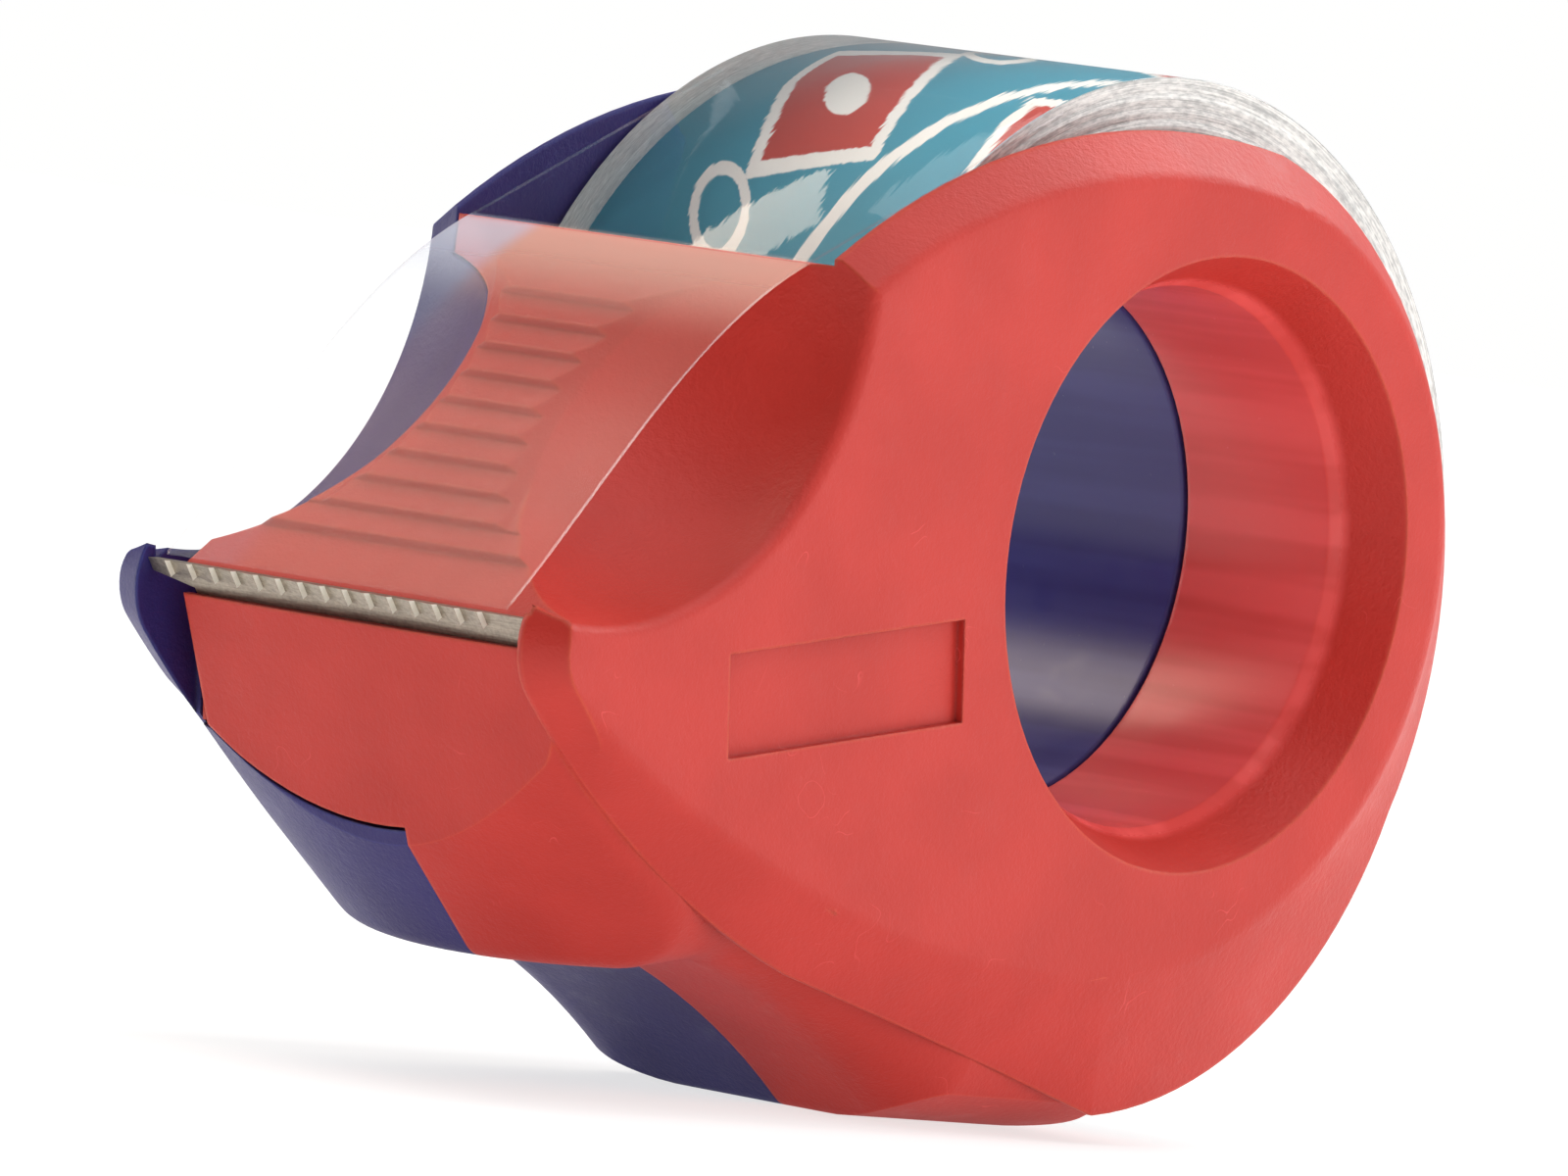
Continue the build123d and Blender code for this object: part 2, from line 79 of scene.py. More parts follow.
# ---- shader arithmetic --------------------------------------------------------------------------
class Signal:
    """A number that varies over a surface and takes part in ordinary arithmetic."""

    def __init__(self, graph: "Graph", socket: bpy.types.NodeSocket) -> None:
        """Wrap one output socket.

        Args:
            graph: The node tree wrapper that the socket belongs to.
            socket: The output that carries the number.
        """
        self.graph = graph
        self.socket = socket

    def _with(self, operation: str, *values: Any) -> "Signal":
        """Add one Math node on these values.

        Args:
            operation: What the node works out.
            values: Its inputs in order, as signals or numbers.

        Returns:
            The result.
        """
        return self.graph.math(operation, *values)

    def __add__(self, other: Any) -> "Signal":
        """Sum."""
        return self._with("ADD", self, other)

    def __radd__(self, other: Any) -> "Signal":
        """Sum, number first."""
        return self._with("ADD", other, self)

    def __sub__(self, other: Any) -> "Signal":
        """Difference."""
        return self._with("SUBTRACT", self, other)

    def __rsub__(self, other: Any) -> "Signal":
        """Difference, number first."""
        return self._with("SUBTRACT", other, self)

    def __mul__(self, other: Any) -> "Signal":
        """Product."""
        return self._with("MULTIPLY", self, other)

    def __rmul__(self, other: Any) -> "Signal":
        """Product, number first."""
        return self._with("MULTIPLY", other, self)

    def __truediv__(self, other: Any) -> "Signal":
        """Quotient."""
        return self._with("DIVIDE", self, other)

    def __pow__(self, other: Any) -> "Signal":
        """Power."""
        return self._with("POWER", self, other)

    def __abs__(self) -> "Signal":
        """Size without sign."""
        return self._with("ABSOLUTE", self)

    def __mod__(self, other: Any) -> "Signal":
        """Remainder that is never negative."""
        return self._with("FLOORED_MODULO", self, other)

    def most(self, other: Any) -> "Signal":
        """Larger of two values."""
        return self._with("MAXIMUM", self, other)

    def ramp(self, low: float, high: float) -> "Signal":
        """Smooth rise from 0 at low to 1 at high, or a fall where low is the larger.

        Args:
            low: Value where the result is 0.
            high: Value where the result is 1.

        Returns:
            The eased value between 0 and 1.
        """
        flipped = low > high
        ends = (high, low) if flipped else (low, high)
        node = self.graph.add(
            "ShaderNodeMapRange", {"interpolation_type": "SMOOTHSTEP"},
            {"Value": self, "From Min": ends[0], "From Max": ends[1]})
        eased = Signal(self.graph, node.outputs["Result"])
        return 1 - eased if flipped else eased


class Graph:
    """One material's or world's node tree."""

    def __init__(self, tree: bpy.types.NodeTree) -> None:
        """Start from an empty tree.

        Args:
            tree: The node tree to fill.
        """
        self.tree = tree
        tree.nodes.clear()

    def add(self, kind: str, settings: dict[str, Any] | None = None,
            inputs: dict[Any, Any] | None = None) -> bpy.types.Node:
        """Add any node.

        Args:
            kind: The node's type.
            settings: Its own settings, set first.
            inputs: Values or links for its sockets, by name or number.

        Returns:
            The new node.
        """
        node = self.tree.nodes.new(kind)
        for name, value in (settings or {}).items():
            setattr(node, name, value)
        for name, value in (inputs or {}).items():
            self.feed(node.inputs[name], value)
        return node

    def feed(self, socket: bpy.types.NodeSocket, value: Any) -> None:
        """Set or link one input socket.

        Args:
            socket: The input.
            value: A signal or socket to link, or a value to set.
        """
        if isinstance(value, Signal):
            self.tree.links.new(value.socket, socket)
        elif isinstance(value, bpy.types.NodeSocket):
            self.tree.links.new(value, socket)
        elif isinstance(value, tuple) and len(value) == 3 and socket.type == "RGBA":
            socket.default_value = (*value, 1.0)
        else:
            socket.default_value = value

    def math(self, operation: str, *values: Any) -> Signal:
        """Add one Math node.

        Args:
            operation: What it works out.
            values: Its inputs in order.

        Returns:
            The result.
        """
        inputs = dict(enumerate(values))
        return Signal(self, self.add("ShaderNodeMath", {"operation": operation}, inputs).outputs[0])

    def vector(self, operation: str, *values: Any, scale: float | None = None) -> bpy.types.NodeSocket:
        """Add one Vector Math node.

        Args:
            operation: What it works out.
            values: Its inputs in order.
            scale: Factor of a SCALE node.

        Returns:
            The vector socket.
        """
        node = self.add("ShaderNodeVectorMath", {"operation": operation}, dict(enumerate(values)))
        if scale is not None:
            node.inputs["Scale"].default_value = scale
        return node.outputs[0]

    def mix(self, factor: Any, first: Any, second: Any) -> bpy.types.NodeSocket:
        """Blend two colours.

        Args:
            factor: Share of the second.
            first: Colour at 0.
            second: Colour at 1.

        Returns:
            The colour socket.
        """
        node = self.add("ShaderNodeMix", {"data_type": "RGBA"}, {0: factor, 6: first, 7: second})
        return node.outputs[2]

    def millimetres(self, centre: Vector | None = None) -> bpy.types.NodeSocket:
        """Place on the piece in millimetres.

        Args:
            centre: Point that becomes the middle of the pattern, in metres.

        Returns:
            The vector socket.
        """
        place = self.add("ShaderNodeTexCoord").outputs["Object"]
        if centre is not None:
            place = self.vector("SUBTRACT", place, tuple(centre))
        return self.vector("SCALE", place, scale=1 / MM)

    def split(self, place: bpy.types.NodeSocket) -> tuple[Signal, Signal, Signal]:
        """Take a vector apart.

        Args:
            place: The vector.

        Returns:
            Its three numbers.
        """
        node = self.add("ShaderNodeSeparateXYZ", None, {0: place})
        return tuple(Signal(self, out) for out in node.outputs)

    def join(self, x: Any, y: Any, z: Any) -> bpy.types.NodeSocket:
        """Put a vector together.

        Args:
            x: Its first number.
            y: Its second number.
            z: Its third number.

        Returns:
            The vector socket.
        """
        return self.add("ShaderNodeCombineXYZ", None, {0: x, 1: y, 2: z}).outputs[0]

    def noise(self, place: bpy.types.NodeSocket, scale: float, detail: float = 2.0,
              roughness: float = 0.5) -> Signal:
        """Soft random field.

        Args:
            place: Vector it is read at.
            scale: Features in each unit of the vector.
            detail: Number of finer layers.
            roughness: Strength of the finer layers.

        Returns:
            Values between 0 and 1, around a half.
        """
        node = self.add("ShaderNodeTexNoise", {"noise_dimensions": "3D"},
                        {"Vector": place, "Scale": scale, "Detail": detail, "Roughness": roughness})
        return Signal(self, node.outputs["Fac"])

    def bump(self, height: Signal, depth: float,
             normal: bpy.types.NodeSocket | None = None) -> bpy.types.NodeSocket:
        """Small relief.

        Args:
            height: Field between 0 and 1.
            depth: Height in metres of a full step.
            normal: Normal that it is laid on.

        Returns:
            The normal socket.
        """
        inputs = {"Height": height, "Distance": depth, "Strength": 1.0}
        if normal is not None:
            inputs["Normal"] = normal
        return self.add("ShaderNodeBump", None, inputs).outputs[0]

    def blend(self, factor: Any, first: bpy.types.Node, second: bpy.types.Node) -> bpy.types.Node:
        """Mix two shaders.

        Args:
            factor: Share of the second.
            first: Shader that shows at 0.
            second: Shader that shows at 1.

        Returns:
            The Mix Shader node.
        """
        return self.add("ShaderNodeMixShader", None,
                        {0: factor, 1: first.outputs[0], 2: second.outputs[0]})

    def show(self, shader: bpy.types.Node, output: str = "ShaderNodeOutputMaterial") -> None:
        """Send a shader to the tree's output.

        Args:
            shader: The node whose shader is shown.
            output: Type of the output node.
        """
        self.add(output, None, {"Surface": shader.outputs[0]})

    def surface(self, inputs: dict[str, Any]) -> None:
        """Make the whole surface one Principled shader.

        Args:
            inputs: Values or links for its sockets.
        """
        self.show(self.add("ShaderNodeBsdfPrincipled", None, inputs))


def new_material(name: str) -> tuple[bpy.types.Material, Graph]:
    """Start a material.

    Args:
        name: Its name.

    Returns:
        The material and its empty tree.
    """
    material = bpy.data.materials.new(name)
    material.use_nodes = True
    return material, Graph(material.node_tree)


# ---- finishes -----------------------------------------------------------------------------------
@dataclass(frozen=True)
class MouldedPlastic:
    """Coloured plastic from a spark-eroded mould, polished inside the hub, with painted shade, highlights
    and sheen.

    Attributes:
        name: Name of the material.
        colour: The plastic itself.
        deep: Its darker clouds.
        edge: Lighter colour on its outer edges, a painted highlight.
        scuff_and_bore_sheen: Lighter colour of the rubbed lines, and of the polished bore as a painted
            sheen.
        painted_hollow_shade: Darker colour in its corners and grooves, a painted shade.
        hub_radius: Radius of the hub's bore.
        grain_depth: Height of the grain.
        edge_round: Radius by which edges look rounded.
        groove_reach: Distance within which the piece's own walls close in, for the painted shade and to
            keep edge highlights out of creases.
    """

    name: str
    colour: Colour
    deep: Colour
    edge: Colour
    scuff_and_bore_sheen: Colour
    painted_hollow_shade: Colour
    hub_radius: float
    grain_depth: float = 0.045 * MM
    edge_round: float = 0.25 * MM
    groove_reach: float = 2.0 * MM

    def build(self) -> bpy.types.Material:
        """Make the material.

        Returns:
            The material.
        """
        material, g = new_material(self.name)
        place = g.millimetres()
        x, y, z = g.split(place)
        radius = self.hub_radius / MM
        bore = ((x * x + z * z) ** 0.5).ramp(radius + 0.5, radius + 0.2)
        grain = g.noise(place, 3.6, 2.0, 0.6)
        fine = g.noise(place, 11.0, 1.0)
        cloud = g.noise(place, 0.16, 3.0)
        worn = g.noise(place, 0.5, 4.0, 0.6).ramp(0.5, 0.75)
        rounded = g.add("ShaderNodeBevel", {"samples": 4}, {"Radius": self.edge_round}).outputs[0]
        flat = g.add("ShaderNodeNewGeometry").outputs["Normal"]
        facing = Signal(g, g.add("ShaderNodeVectorMath", {"operation": "DOT_PRODUCT"},
                                 {0: rounded, 1: flat}).outputs["Value"])
        open_air = Signal(g, g.add("ShaderNodeAmbientOcclusion", {"samples": 6, "only_local": True},
                                   {"Distance": self.groove_reach}).outputs["AO"])
        edge = facing.ramp(0.995, 0.9) * open_air.ramp(0.7, 0.95)
        tone = g.mix(cloud.ramp(0.3, 0.7), self.deep, self.colour)
        # Painted shade: darker colour in corners and grooves, where the piece's own walls close in.
        tone = g.mix(open_air.ramp(0.95, 0.35) * 0.55, tone, self.painted_hollow_shade)
        # Painted highlight: convex edges, kept out of creases, get the lighter edge colour where light
        # would catch them.
        tone = g.mix(edge * 0.55, tone, self.edge)
        # Painted sheen: the bore gets a lighter colour, with streaks along its axis that stand in for
        # reflections.
        painted_streaks = g.noise(g.join(x * 0.35, y * 0.02, z * 0.35), 1.6, 2.0, 0.5).ramp(0.4, 0.62)
        tone = g.mix(bore * (0.55 + 0.35 * painted_streaks), tone, self.scuff_and_bore_sheen)
        # Rubbed lines outside the bore are real wear, in the same lighter colour.
        line = abs(g.noise(place, 0.55, 1.0) - 0.5).ramp(0.007, 0.002)
        scuff = line * g.noise(place, 0.28, 1.0).ramp(0.64, 0.7) * (1 - bore)
        tone = g.mix(scuff * 0.3, tone, self.scuff_and_bore_sheen)
        rough = 0.42 + 0.1 * grain - 0.08 * worn - 0.22 * bore - 0.06 * edge
        relief = g.bump((grain * 0.75 + fine * 0.25) * (1 - bore), self.grain_depth, rounded)
        g.surface({"Base Color": tone, "Roughness": rough, "Normal": relief,
                   "Specular IOR Level": 0.30, "IOR": 1.52})
        return material


@dataclass(frozen=True)
class GroundSteel:
    """Thin spring steel with rolling marks and ground teeth.

    Attributes:
        name: Name of the material.
        colour: Light rolling marks.
        dark: Dark rolling marks.
        painted_tooth_highlight: Painted highlight on the steps of the teeth that face the red side.
        relief: Depth of the marks.
    """

    name: str = "cutter_steel"
    colour: Colour = (0.50, 0.44, 0.36)
    dark: Colour = (0.27, 0.24, 0.20)
    painted_tooth_highlight: Colour = (0.97, 0.94, 0.82)
    relief: float = 0.02 * MM

    def build(self) -> bpy.types.Material:
        """Make the material, with a painted highlight on the steps of the teeth that face the red side.

        Returns:
            The material.
        """
        material, g = new_material(self.name)
        place = g.millimetres()
        x, y, z = g.split(place)
        rolled = g.noise(g.join(x * 6, y * 0.35, z * 6), 2.2, 3.0, 0.65)
        pits = g.noise(place, 5.0, 3.0, 0.6)
        marks = rolled * 0.6 + pits * 0.4
        tone = g.mix(marks.ramp(0.3, 0.7), self.dark, self.colour)
        # Painted highlight: faces turned towards the red side get a lighter, less metallic colour.
        across = g.split(g.add("ShaderNodeTexCoord").outputs["Normal"])[1]
        step = (0 - across).ramp(0.5, 0.85)
        tone = g.mix(step, tone, self.painted_tooth_highlight)
        g.surface({"Base Color": tone, "Metallic": 0.9 - 0.75 * step, "Roughness": 0.34 + 0.2 * rolled,
                   "Normal": g.bump(marks, self.relief)})
        return material


@dataclass(frozen=True)
class ClearFilm:
    """Thin clear tape with shiny cut edges and a painted sheen, strongest where it lies on the sill.

    Attributes:
        name: Name of the material.
        middle: Place of the film's middle across the body.
        half_width: Half of the film's width.
        shine: Colour of its reflections.
        painted_film_sheen: Warm colour of the painted sheen over the saddle.
        cool_painted_film_sheen: Cool colour of the painted sheen past the saddle.
        saddle_side: Places across the body between which one sheen colour gives way to the other, in
            millimetres.
        thinning: Places along the body between which the painted sheen thins out, in millimetres.
        crest: Places along the body between which it begins behind the sill, in millimetres.
    """

    name: str
    middle: float
    half_width: float
    shine: Colour = (0.93, 0.95, 0.97)
    painted_film_sheen: Colour = (1.0, 0.66, 0.54)
    cool_painted_film_sheen: Colour = (0.84, 0.88, 1.0)
    saddle_side: tuple[float, float] = (4.8, 6.2)
    thinning: tuple[float, float] = (-30.0, -25.5)
    crest: tuple[float, float] = (-24.2, -24.8)

    def build(self) -> bpy.types.Material:
        """Make the material.

        Returns:
            The material.
        """
        material, g = new_material(self.name)
        place = g.millimetres()
        x, y, z = g.split(place)
        edge = self.half_width / MM
        rim = abs(y - self.middle / MM).ramp(edge - 0.06, edge - 0.02)
        streak = g.noise(g.join(x * 0.05, y * 1.4, z * 0.05), 1.0, 3.0, 0.6)
        facing = Signal(g, g.add("ShaderNodeLayerWeight", None, {"Blend": 0.5}).outputs["Facing"])
        gloss = (0.004 + 0.008 * streak + 0.016 * facing ** 6).most(rim * 0.12)
        shine = g.add("ShaderNodeBsdfPrincipled", None, {
            "Base Color": self.shine, "Metallic": 0.8, "Roughness": 0.14 + 0.06 * streak,
            "Normal": g.bump(streak, FILM_STREAK)})
        clear = g.add("ShaderNodeBsdfTransparent")
        glossy = g.blend(gloss, clear, shine)
        # Painted reflection: a pale dull layer over the film stands in for its sheen, warm over the saddle
        # and cool past it.
        painted_film_sheen = g.add("ShaderNodeBsdfPrincipled", None, {
            "Base Color": g.mix(y.ramp(*self.saddle_side), self.painted_film_sheen, self.cool_painted_film_sheen),
            "Roughness": 0.9, "Specular IOR Level": 0.0})
        # The painted sheen is faint from the blade, strongest just before the sill and gone behind it.
        film_sheen_share = (x.ramp(*self.thinning) * 0.30 + 0.05) * x.ramp(*self.crest)
        g.show(g.blend(film_sheen_share, glossy, painted_film_sheen))
        return material


@dataclass(frozen=True)
class RollSkin:
    """Glossy clear outside of the wound tape, which the printed band shows through.

    Attributes:
        name: Name of the material.
        tint: Colour of the clear tape.
        shade: What it lets through towards the lights.
    """

    name: str = "wound_tape_skin"
    tint: Colour = (0.97, 0.98, 0.98)
    shade: Colour = (0.93, 0.94, 0.94)

    def build(self, centre: Vector) -> bpy.types.Material:
        """Make the material.

        Args:
            centre: Middle of the roll.

        Returns:
            The material.
        """
        material, g = new_material(self.name)
        place = g.millimetres(centre)
        x, y, z = g.split(place)
        streak = g.noise(g.join(x * 0.08, y * 1.6, z * 0.08), 1.0, 3.0, 0.6)
        glass = g.add("ShaderNodeBsdfPrincipled", None, {
            "Base Color": self.tint, "Roughness": 0.02 + 0.03 * streak,
            "Transmission Weight": 1.0, "IOR": FILM_IOR, "Normal": g.bump(streak, FILM_STREAK)})
        lamp = g.add("ShaderNodeLightPath").outputs["Is Shadow Ray"]
        clear = g.add("ShaderNodeBsdfTransparent", None, {"Color": self.shade})
        g.show(g.blend(lamp, glass, clear))
        return material


@dataclass(frozen=True)
class LayeredSide:
    """Silver-grey cut side of the roll, with its many fine layers.

    Attributes:
        name: Name of the material.
        light: Bright layers.
        dark: Dark layers.
        relief: Depth of the layers.
    """

    name: str = "wound_tape_side"
    light: Colour = (0.92, 0.91, 0.87)
    dark: Colour = (0.42, 0.42, 0.41)
    relief: float = 0.06 * MM

    def build(self, centre: Vector) -> bpy.types.Material:
        """Make the material.

        Args:
            centre: Middle of the roll.

        Returns:
            The material.
        """
        material, g = new_material(self.name)
        place = g.millimetres(centre)
        x, _, z = g.split(place)
        radius = (x * x + z * z) ** 0.5
        turn = g.math("ARCTAN2", z, x)
        layers = g.noise(g.join(radius * 9.0, turn * 1.2, 0.0), 1.0, 3.0, 0.7)
        glint = g.noise(g.join(radius * 6.0, turn * 34.0, 3.0), 1.0, 2.0, 0.6)
        cloud = g.noise(place, 0.35, 2.0)
        shade = layers * 0.5 + glint * 0.35 + cloud * 0.15
        tone = g.mix(shade.ramp(0.36, 0.62), self.dark, self.light)
        g.surface({"Base Color": tone, "Roughness": 0.32 + 0.3 * layers, "Metallic": 0.15,
                   "Normal": g.bump(shade, self.relief), "Specular IOR Level": 0.7})
        return material


@dataclass(frozen=True)
class PrintedBand:
    """Printed paper band on the core: framed lozenges and rings in two rows.

    Attributes:
        name: Name of the material.
        ground: Colour between the figures.
        accent: Colour inside the lozenges.
        light: Colour of frames, discs, rings and the middle stripe.
        repeats: Lozenges in each row.
        row_offset: Distance of each row from the middle, in millimetres like the sizes below.
        slant: How far the print runs on round the band with each millimetre across.
        lozenge_share: Half a lozenge's length as a share of the pitch.
        lozenge_half: Half a lozenge's height.
        disc_radius: Radius of the disc in each lozenge.
        ring_radius: Radius of the ring between lozenges.
        relief: Depth of the paper's fibres, in metres.
    """

    name: str = "printed_paper"
    ground: Colour = (0.028, 0.23, 0.33)
    accent: Colour = (0.42, 0.03, 0.018)
    light: Colour = (0.78, 0.76, 0.73)
    repeats: int = 6
    row_offset: float = 4.6
    slant: float = 0.9
    lozenge_share: float = 0.36
    lozenge_half: float = 3.7
    disc_radius: float = 1.15
    ring_radius: float = 1.5
    relief: float = 0.01 * MM

    def build(self, centre: Vector, radius: float) -> bpy.types.Material:
        """Make the material.

        Args:
            centre: Middle of the roll.
            radius: Radius of the band.

        Returns:
            The material.
        """
        material, g = new_material(self.name)
        place = g.millimetres(centre)
        x, y, z = g.split(place)
        around = g.math("ARCTAN2", z, x) * (radius / MM) + y * self.slant
        pitch = 2 * math.pi * radius / MM / self.repeats
        tone = self.ground
        for row, shift in ((-1, 0.0), (1, 0.5)):
            along = (around + shift * pitch) % pitch - pitch / 2
            across = y - row * self.row_offset
            tone = self.lozenge(g, tone, along, across, pitch)
        stripe = abs(y).ramp(0.34, 0.28)
        tone = g.mix(stripe, tone, self.light)
        fibre = g.noise(place, 6.0, 2.0)
        g.surface({"Base Color": tone, "Roughness": 0.55 + 0.1 * fibre,
                   "Normal": g.bump(fibre, self.relief)})
        return material

    def lozenge(self, g: Graph, tone: Any, along: Signal, across: Signal, pitch: float) -> Any:
        """Lay one row of framed lozenges with a ring between them.

        Args:
            g: The tree.
            tone: Colour underneath.
            along: Distance round the band from the lozenge's middle.
            across: Distance across the band from the row.
            pitch: Distance between lozenges.

        Returns:
            The colour with the row on it.
        """
        half, tall = pitch * self.lozenge_share, self.lozenge_half
        scale = half * tall / math.hypot(half, tall)
        depth = (abs(along) / half + abs(across) / tall - 1) * scale
        inside = depth.ramp(0.05, -0.05)
        frame_line = abs(depth).ramp(0.34, 0.26)
        disc = ((along * along + across * across) ** 0.5 - self.disc_radius).ramp(0.05, -0.05)
        far = pitch / 2 - abs(along)
        ring = abs((far * far + across * across) ** 0.5 - self.ring_radius).ramp(0.3, 0.22)
        tone = g.mix(inside, tone, self.accent)
        return g.mix(frame_line.most(disc).most(ring), tone, self.light)


@dataclass(frozen=True)
class WoundBoard:
    """Grey-brown board of the core, wound in a spiral.

    Attributes:
        name: Name of the material.
        light: Light fibres.
        dark: Dark fibres and the seam.
        ply_width: Width of the wound strip, in millimetres.
        lead: How far the seam runs across with each radian round, in millimetres.
        relief: Depth of fibres and seam.
    """

    name: str = "core_board"
    light: Colour = (0.62, 0.52, 0.38)
    dark: Colour = (0.42, 0.33, 0.22)
    ply_width: float = 15.0
    lead: float = 2.4
    relief: float = 0.05 * MM

    def build(self, centre: Vector) -> bpy.types.Material:
        """Make the material.

        Args:
            centre: Middle of the roll.

        Returns:
            The material.
        """
        material, g = new_material(self.name)
        place = g.millimetres(centre)
        x, y, z = g.split(place)
        turn = g.math("ARCTAN2", z, x)
        seam = abs((y + turn * self.lead) % self.ply_width - self.ply_width / 2).ramp(0.22, 0.1)
        fibre = g.noise(place, 3.0, 4.0, 0.7)
        tone = g.mix(fibre.ramp(0.3, 0.7), self.dark, self.light)
        tone = g.mix(seam * 0.5, tone, self.dark)
        g.surface({"Base Color": tone, "Roughness": 0.85,
                   "Normal": g.bump(fibre - seam * 0.6, self.relief)})
        return material


# ---- pieces -------------------------------------------------------------------------------------
def dress(node: str, material: bpy.types.Material) -> bpy.types.Object:
    """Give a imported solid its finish.

    Args:
        node: The solid's name.
        material: Its material.

    Returns:
        The object.
    """
    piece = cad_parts[node]
    piece.data.materials.clear()
    piece.data.materials.append(material)
    LOG.info("dressed %s", node)
    return piece


def finished(name: str, mesh: bmesh.types.BMesh, materials: list[bpy.types.Material]) -> bpy.types.Object:
    """Turn a bmesh into an object at the origin.

    Args:
        name: Name of the piece.
        mesh: Its shape, which is freed.
        materials: Materials by face index.

    Returns:
        The object, linked to the scene.
    """
    data = bpy.data.meshes.new(name)
    mesh.to_mesh(data)
    mesh.free()
    for material in materials:
        data.materials.append(material)
    piece = bpy.data.objects.new(name, data)
    bpy.context.scene.collection.objects.link(piece)
    return piece


@dataclass
class Shells:
    """The red and the blue half of the body."""

    hub_radius: float = 11.5 * MM

    def dress(self) -> None:
        """Give both shells their plastic."""
        # Beside the plastic's own colours, each shell has a lighter edge colour for painted highlights, a
        # lighter colour for the rubbed lines and the painted sheen in the bore, and a dark colour for
        # painted shade in corners.
        red = MouldedPlastic(
            name="red_plastic", colour=(0.565, 0.037, 0.026), deep=(0.505, 0.030, 0.020),
            edge=(0.76, 0.12, 0.05), scuff_and_bore_sheen=(0.90, 0.13, 0.12), painted_hollow_shade=(0.36, 0.018, 0.012),
            hub_radius=self.hub_radius)
        blue = MouldedPlastic(
            name="blue_plastic", colour=(0.034, 0.026, 0.155), deep=(0.028, 0.020, 0.130),
            edge=(0.06, 0.08, 0.36), scuff_and_bore_sheen=(0.07, 0.07, 0.26), painted_hollow_shade=(0.014, 0.010, 0.060),
            hub_radius=self.hub_radius)
        dress("red_shell", red.build())
        dress("blue_shell", blue.build())


@dataclass
class Cutter:
    """The steel blade."""

    def dress(self) -> None:
        """Give the blade its steel."""
        dress("cutter_blade", GroundSteel().build())


class SkinPart(Enum):
    """Faces of the wound tape."""

    OUTSIDE = 0
    SIDE = 1
    BAND = 2


@dataclass
class TapeRoll:
    """The roll: board core, printed band and the clear winding round it.

    Attributes:
        segments: Steps round the roll.
        side_steps: Steps across each side, from the outside to the band.
        unevenness: How far layers stand back from the roll's full width.
        lip: Round of the outer edges.
        band_play: Room between the printed band and the winding's inside.
        touch: Distance within which points count as the same.
    """

    segments: int = 256
    side_steps: int = 22
    unevenness: float = 0.09 * MM
    lip: float = 0.08 * MM
    band_play: float = 0.02 * MM
    touch: float = 0.001 * MM

    def build(self) -> bpy.types.Object:
        """Wind the clear tape and dress core and band.

        Returns:
            The winding.
        """
        low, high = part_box("tape_winding")
        centre = (low + high) / 2
        radius = (high.x - low.x) / 2
        label_low, label_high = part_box("core_label")
        band_radius = (label_high.x - label_low.x) / 2 + self.band_play
        mesh = self.wind(centre, radius, band_radius, high.y - low.y)
        band = PrintedBand().build(centre, band_radius)
        skin = [RollSkin().build(centre), LayeredSide().build(centre), band]
        winding = finished("wound_tape_roll", mesh, skin)
        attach(winding, "roll")
        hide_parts("tape_winding")
        LOG.info("wound %s", winding.name)
        dress("roll_core", WoundBoard().build(centre))
        dress("core_label", band)
        return winding

    def wind(self, centre: Vector, radius: float, inner: float, width: float) -> bmesh.types.BMesh:
        """Spin the section of the wound tape round its axis.

        Args:
            centre: Middle of the roll.
            radius: Outside radius.
            inner: Radius of the printed band.
            width: Width of the tape.

        Returns:
            The closed ring.
        """
        mesh = bmesh.new()
        half = width / 2
        shoulder = radius - self.lip * 0.6
        side = []
        for step in range(self.side_steps + 1):
            r = shoulder - (shoulder - inner) * (step / self.side_steps)
            dip = self.unevenness * (0.5 + 0.5 * math.sin(step * 2.4) * math.cos(step * 0.9 + 0.4))
            side.append((r, half - dip))
        points = [(radius, -half + self.lip), (radius, half - self.lip), *side]
        points += [(r, -y) for r, y in reversed(side)]
        ring = [mesh.verts.new((r, y, 0.0)) for r, y in points]
        edges = [mesh.edges.new(pair) for pair in zip(ring, ring[1:] + ring[:1])]
        bmesh.ops.spin(mesh, geom=ring + edges, cent=(0, 0, 0), axis=(0, 1, 0), dvec=(0, 0, 0),
                       angle=2 * math.pi, steps=self.segments, use_merge=True, use_duplicate=False)
        bmesh.ops.remove_doubles(mesh, verts=mesh.verts, dist=self.touch)
        bmesh.ops.recalc_face_normals(mesh, faces=mesh.faces)
        for face in mesh.faces:
            part = self.part_at(face.calc_center_median(), radius, inner)
            face.material_index = part.value
            face.smooth = part is not SkinPart.SIDE
        bmesh.ops.translate(mesh, verts=mesh.verts, vec=centre)
        return mesh

    def part_at(self, middle: Vector, radius: float, inner: float) -> SkinPart:
        """Tell which part of the winding a face belongs to.

        Args:
            middle: Middle of the face, from the roll's axis.
            radius: Outside radius.
            inner: Radius of the printed band.

        Returns:
            The part.
        """
        r = math.hypot(middle.x, middle.z)
        if r < inner + self.touch * 10:
            return SkinPart.BAND
        return SkinPart.OUTSIDE if r > radius - self.lip else SkinPart.SIDE


@dataclass
class FreeEnd:
    """The film that runs from the roll over the saddle to the blade."""

    def dress(self) -> None:
        """Give the film its clear finish."""
        low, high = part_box("tape_tail")
        film = ClearFilm("tape_film", (low.y + high.y) / 2, (high.y - low.y) / 2)
        dress("tape_tail", film.build())


